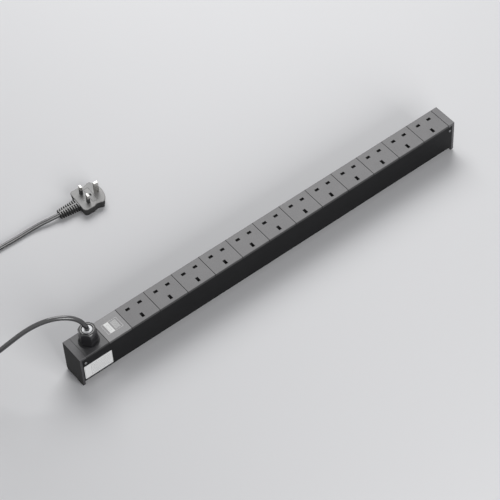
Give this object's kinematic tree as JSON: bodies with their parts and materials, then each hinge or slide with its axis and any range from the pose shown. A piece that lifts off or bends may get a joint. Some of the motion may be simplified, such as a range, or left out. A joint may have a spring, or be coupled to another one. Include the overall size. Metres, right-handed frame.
{
  "type": "rack power distribution unit",
  "caption": "Vertical rack power strip: black extrusion with a row of shuttered 13 A sockets, a cable gland at one end and a free mains lead with a moulded plug.",
  "frame": {"origin": "middle of the strip's footprint, at the underside of its rail", "axes": "+X along the strip from the gland end, +Y towards the live and neutral slots, +Z out of the socket faces"},
  "size_m": [0.8802, 0.319, 0.1374],
  "materials": {
    "anodised_aluminium": "black anodised, satin",
    "black_plastic": "fine spark-eroded grain",
    "bright_screw": "zinc plated",
    "carrier_plastic": "moulded",
    "shutter_plastic": "moulded",
    "spring_steel": "bright",
    "brass": "drawn and machined",
    "core_brown": "extruded",
    "core_blue": "extruded",
    "core_green": "extruded, green and yellow",
    "black_rubber": "moulded",
    "grey_rubber": "moulded",
    "gland_nylon": "moulded",
    "cord_sheath": "extruded, satin",
    "plug_plastic": "fine grain",
    "sleeve_plastic": "moulded",
    "carrier_black": "moulded",
    "fuse_ceramic": "ceramic tube with plated ends"
  },
  "bodies": {
    "strip": {"profile": "anodised_aluminium", "end_cap_left": "black_plastic", "end_cap_right": "black_plastic", "cap_screws": "bright_screw", "gland_module": "black_plastic", "blank_module": "black_plastic", "contact_carriers": "carrier_plastic", "shutter_springs": "spring_steel", "busbar_live": "brass", "busbar_neutral": "brass", "busbar_earth": "brass", "terminal_block": "carrier_plastic", "terminal_screws": "bright_screw", "wire_live": "core_brown", "wire_neutral": "core_blue", "wire_earth": "core_green", "bond_lead": "core_green", "bond_screw": "bright_screw", "gland_washer": "black_rubber", "gland_body": "gland_nylon", "gland_locknut": "gland_nylon", "gland_nut": "gland_nylon", "gland_seal": "grey_rubber", "cord_entry": "cord_sheath", "cord_lead": "cord_sheath", "cord_tail": "cord_sheath", "cord_coil": "cord_sheath", "plug_body": "plug_plastic", "plug_pin_live": "brass", "plug_pin_neutral": "brass", "plug_pin_earth": "brass", "plug_sleeves": "sleeve_plastic", "plug_relief": "black_rubber", "socket_01": "black_plastic", "socket_02": "black_plastic", "socket_03": "black_plastic", "socket_04": "black_plastic", "socket_05": "black_plastic", "socket_06": "black_plastic", "socket_07": "black_plastic", "socket_08": "black_plastic", "socket_09": "black_plastic", "socket_10": "black_plastic", "socket_11": "black_plastic", "socket_12": "black_plastic"},
    "shutter_01": {"shutter_01": "shutter_plastic"},
    "shutter_02": {"shutter_02": "shutter_plastic"},
    "shutter_03": {"shutter_03": "shutter_plastic"},
    "shutter_04": {"shutter_04": "shutter_plastic"},
    "shutter_05": {"shutter_05": "shutter_plastic"},
    "shutter_06": {"shutter_06": "shutter_plastic"},
    "shutter_07": {"shutter_07": "shutter_plastic"},
    "shutter_08": {"shutter_08": "shutter_plastic"},
    "shutter_09": {"shutter_09": "shutter_plastic"},
    "shutter_10": {"shutter_10": "shutter_plastic"},
    "shutter_11": {"shutter_11": "shutter_plastic"},
    "shutter_12": {"shutter_12": "shutter_plastic"},
    "fuse_holder": {"fuse_carrier": "carrier_black", "fuse": "fuse_ceramic"}
  },
  "joints": [
    {"name": "shutter_slide_01", "type": "slide", "parent": "strip", "child": "shutter_01", "axis": [0, 1, 0], "range_m": [0, 0.0054], "stiffness_N_per_m": 150, "springref_m": -0.003, "deforming": ["shutter_springs"]},
    {"name": "shutter_slide_02", "type": "slide", "parent": "strip", "child": "shutter_02", "axis": [0, 1, 0], "range_m": [0, 0.0054], "stiffness_N_per_m": 150, "springref_m": -0.003, "deforming": ["shutter_springs"]},
    {"name": "shutter_slide_03", "type": "slide", "parent": "strip", "child": "shutter_03", "axis": [0, 1, 0], "range_m": [0, 0.0054], "stiffness_N_per_m": 150, "springref_m": -0.003, "deforming": ["shutter_springs"]},
    {"name": "shutter_slide_04", "type": "slide", "parent": "strip", "child": "shutter_04", "axis": [0, 1, 0], "range_m": [0, 0.0054], "stiffness_N_per_m": 150, "springref_m": -0.003, "deforming": ["shutter_springs"]},
    {"name": "shutter_slide_05", "type": "slide", "parent": "strip", "child": "shutter_05", "axis": [0, 1, 0], "range_m": [0, 0.0054], "stiffness_N_per_m": 150, "springref_m": -0.003, "deforming": ["shutter_springs"]},
    {"name": "shutter_slide_06", "type": "slide", "parent": "strip", "child": "shutter_06", "axis": [0, 1, 0], "range_m": [0, 0.0054], "stiffness_N_per_m": 150, "springref_m": -0.003, "deforming": ["shutter_springs"]},
    {"name": "shutter_slide_07", "type": "slide", "parent": "strip", "child": "shutter_07", "axis": [0, 1, 0], "range_m": [0, 0.0054], "stiffness_N_per_m": 150, "springref_m": -0.003, "deforming": ["shutter_springs"]},
    {"name": "shutter_slide_08", "type": "slide", "parent": "strip", "child": "shutter_08", "axis": [0, 1, 0], "range_m": [0, 0.0054], "stiffness_N_per_m": 150, "springref_m": -0.003, "deforming": ["shutter_springs"]},
    {"name": "shutter_slide_09", "type": "slide", "parent": "strip", "child": "shutter_09", "axis": [0, 1, 0], "range_m": [0, 0.0054], "stiffness_N_per_m": 150, "springref_m": -0.003, "deforming": ["shutter_springs"]},
    {"name": "shutter_slide_10", "type": "slide", "parent": "strip", "child": "shutter_10", "axis": [0, 1, 0], "range_m": [0, 0.0054], "stiffness_N_per_m": 150, "springref_m": -0.003, "deforming": ["shutter_springs"]},
    {"name": "shutter_slide_11", "type": "slide", "parent": "strip", "child": "shutter_11", "axis": [0, 1, 0], "range_m": [0, 0.0054], "stiffness_N_per_m": 150, "springref_m": -0.003, "deforming": ["shutter_springs"]},
    {"name": "shutter_slide_12", "type": "slide", "parent": "strip", "child": "shutter_12", "axis": [0, 1, 0], "range_m": [0, 0.0054], "stiffness_N_per_m": 150, "springref_m": -0.003, "deforming": ["shutter_springs"]},
    {"name": "fuse_carrier_slide", "type": "slide", "parent": "strip", "child": "fuse_holder", "axis": [0, 0, 1], "range_m": [0, 0.0125]}
  ]
}
